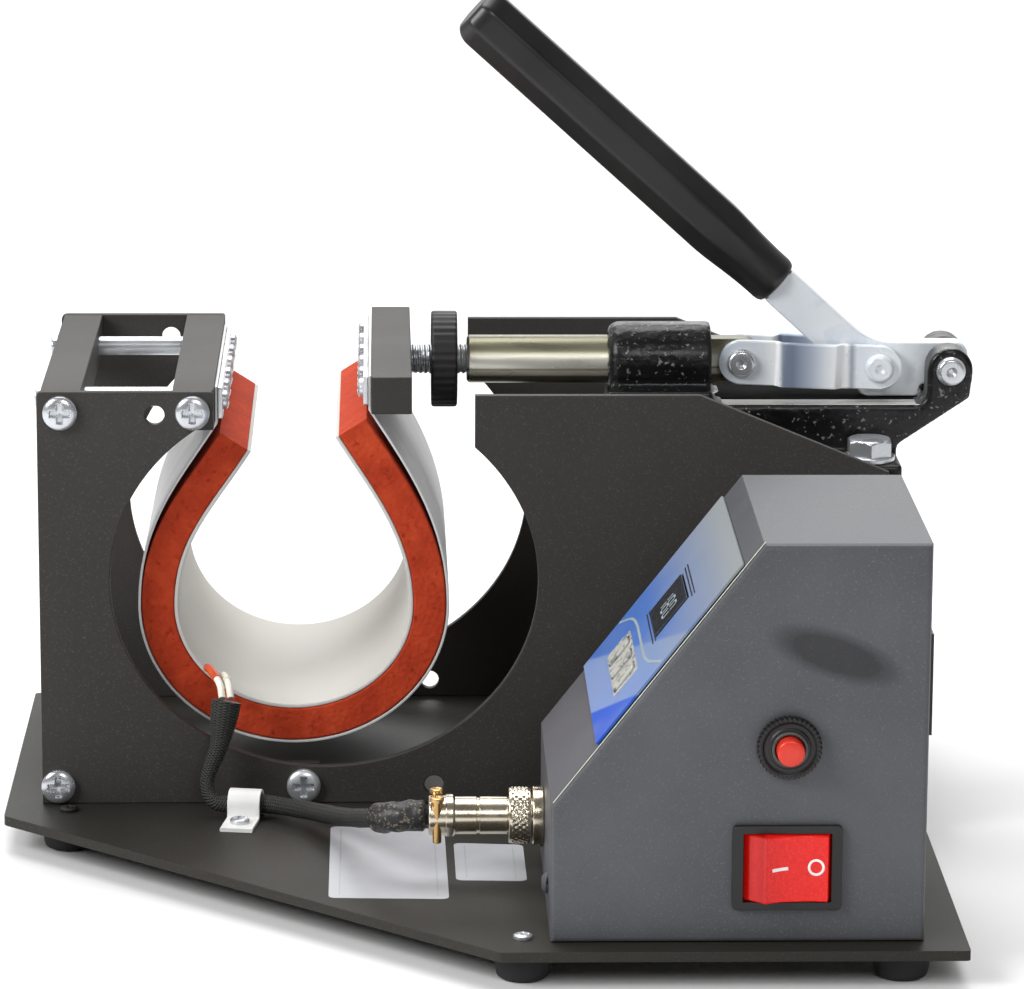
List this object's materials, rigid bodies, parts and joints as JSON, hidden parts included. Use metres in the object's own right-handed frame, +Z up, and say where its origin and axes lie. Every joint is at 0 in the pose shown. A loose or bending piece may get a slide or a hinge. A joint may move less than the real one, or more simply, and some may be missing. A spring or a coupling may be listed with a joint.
{
  "type": "mug heat press",
  "caption": "Benchtop mug heat press: a padded heating band pulled shut by a push-pull toggle clamp between side plates, with a sloped control box and a plug-in heater lead.",
  "frame": {"origin": "the middle of the bounding box's footprint, on the surface under the feet", "axes": "+X to the right, along the plunger from the heater to the lever's pivot; +Y to the back, along the mug's axis; +Z up"},
  "size_m": [0.3014, 0.2774, 0.2541],
  "materials": {
    "powder_black": "satin powder coat",
    "foot_rubber": "matte",
    "zinc": "bright zinc",
    "band_steel": "dull sheet steel",
    "sponge": "open silicone sponge",
    "silicone_mat": "matte",
    "black_plastic": "satin",
    "polished_steel": "ground and polished",
    "gloss_black_casting": "gloss black enamel",
    "panel_film": "printed film",
    "display_window": "gloss",
    "key_plastic": "satin",
    "red_plastic": "translucent",
    "grey_bush": "satin",
    "circuit_board": "satin",
    "transformer_iron": "varnished laminations",
    "sink_aluminium": "extruded",
    "nickel": "nickel plate",
    "wire_sleeving": "glass fibre sleeving",
    "braid": "braided",
    "white_nylon": "satin"
  },
  "bodies": {
    "frame": {"base_plate": "powder_black", "rubber_foot_1": "foot_rubber", "rubber_foot_2": "foot_rubber", "rubber_foot_3": "foot_rubber", "rubber_foot_4": "foot_rubber", "rubber_foot_5": "foot_rubber", "front_side_plate": "powder_black", "rear_side_plate": "powder_black", "left_cross_bar": "powder_black", "anchor_bar": "powder_black", "front_tie_rod": "zinc", "rear_tie_rod": "zinc", "heater_band": "band_steel", "sponge_pad": "sponge", "heating_mat": "silicone_mat", "anchor_clamp_strip": "zinc", "clamp_body": "gloss_black_casting", "clamp_bracket": "powder_black", "clamp_bolt_1": "zinc", "clamp_bolt_2": "zinc", "clamp_bolt_3": "zinc", "clamp_bolt_4": "zinc", "lever_pin": "zinc", "box_cover": "powder_black", "box_tray": "powder_black", "display_panel": "panel_film", "display_module": "display_window", "rocker_bezel": "black_plastic", "breaker_body": "grey_bush", "breaker_nut": "black_plastic", "mains_inlet": "black_plastic", "controller_board": "circuit_board", "transformer": "transformer_iron", "power_sink": "sink_aluminium", "panel_socket": "nickel", "plug_body": "nickel", "upper_wire": "wire_sleeving", "lower_wire": "wire_sleeving", "lead_sleeve": "braid", "lead_clip": "white_nylon"},
    "press": {"plunger": "polished_steel", "press_block": "powder_black", "press_clamp_strip": "zinc"},
    "adjuster": {"adjusting_wheel": "black_plastic", "press_stud": "zinc"},
    "links": {"front_link": "zinc", "rear_link": "zinc", "link_pin": "zinc"},
    "lever": {"lever_plate": "zinc", "lever_grip": "black_plastic"},
    "rocker": {"power_rocker": "red_plastic"},
    "reset": {"breaker_button": "red_plastic"},
    "key_1": {"panel_key_1": "key_plastic"},
    "key_2": {"panel_key_2": "key_plastic"},
    "key_3": {"panel_key_3": "key_plastic"},
    "coupling_ring": {"plug_ring": "nickel"}
  },
  "joints": [
    {"name": "lever_swing", "type": "hinge", "parent": "frame", "child": "lever", "pos_m": [0.14352, 0.0722, 0.1375], "axis": [0, 1, 0], "range_deg": [0, 90]},
    {"name": "press_slide", "type": "slide", "parent": "frame", "child": "press", "axis": [1, 0, 0], "range_m": [0, 0.026], "deforming": ["heater_band", "sponge_pad", "heating_mat"]},
    {"name": "link_swing", "type": "hinge", "parent": "press", "child": "links", "pos_m": [0.07828, 0.0722, 0.1383], "axis": [0, 1, 0], "range_deg": [-31, 0]},
    {"name": "adjuster_spin", "type": "hinge", "parent": "press", "child": "adjuster", "pos_m": [0, 0.0722, 0.1383], "axis": [1, 0, 0], "continuous": true},
    {"name": "rocker_tilt", "type": "hinge", "parent": "frame", "child": "rocker", "pos_m": [0.07858, -0.1291, 0.0336], "axis": [0, 0, -1], "range_deg": [0, 14]},
    {"name": "reset_push", "type": "slide", "parent": "frame", "child": "reset", "axis": [0, 1, 0], "range_m": [0, 0.002], "stiffness_N_per_m": 500},
    {"name": "key_1_push", "type": "slide", "parent": "frame", "child": "key_1", "axis": [0.7893, 0, -0.614], "range_m": [0, 0.0006], "stiffness_N_per_m": 800},
    {"name": "key_2_push", "type": "slide", "parent": "frame", "child": "key_2", "axis": [0.7893, 0, -0.614], "range_m": [0, 0.0006], "stiffness_N_per_m": 800},
    {"name": "key_3_push", "type": "slide", "parent": "frame", "child": "key_3", "axis": [0.7893, 0, -0.614], "range_m": [0, 0.0006], "stiffness_N_per_m": 800},
    {"name": "ring_spin", "type": "hinge", "parent": "frame", "child": "coupling_ring", "pos_m": [0.005, -0.0713, 0.0311], "axis": [1, 0, 0], "continuous": true}
  ],
  "couplings": [
    {"joint": "press_slide", "follows": "lever_swing", "m_per_rad": 0.016361},
    {"joint": "link_swing", "follows": "lever_swing", "ratio": -0.33834}
  ]
}
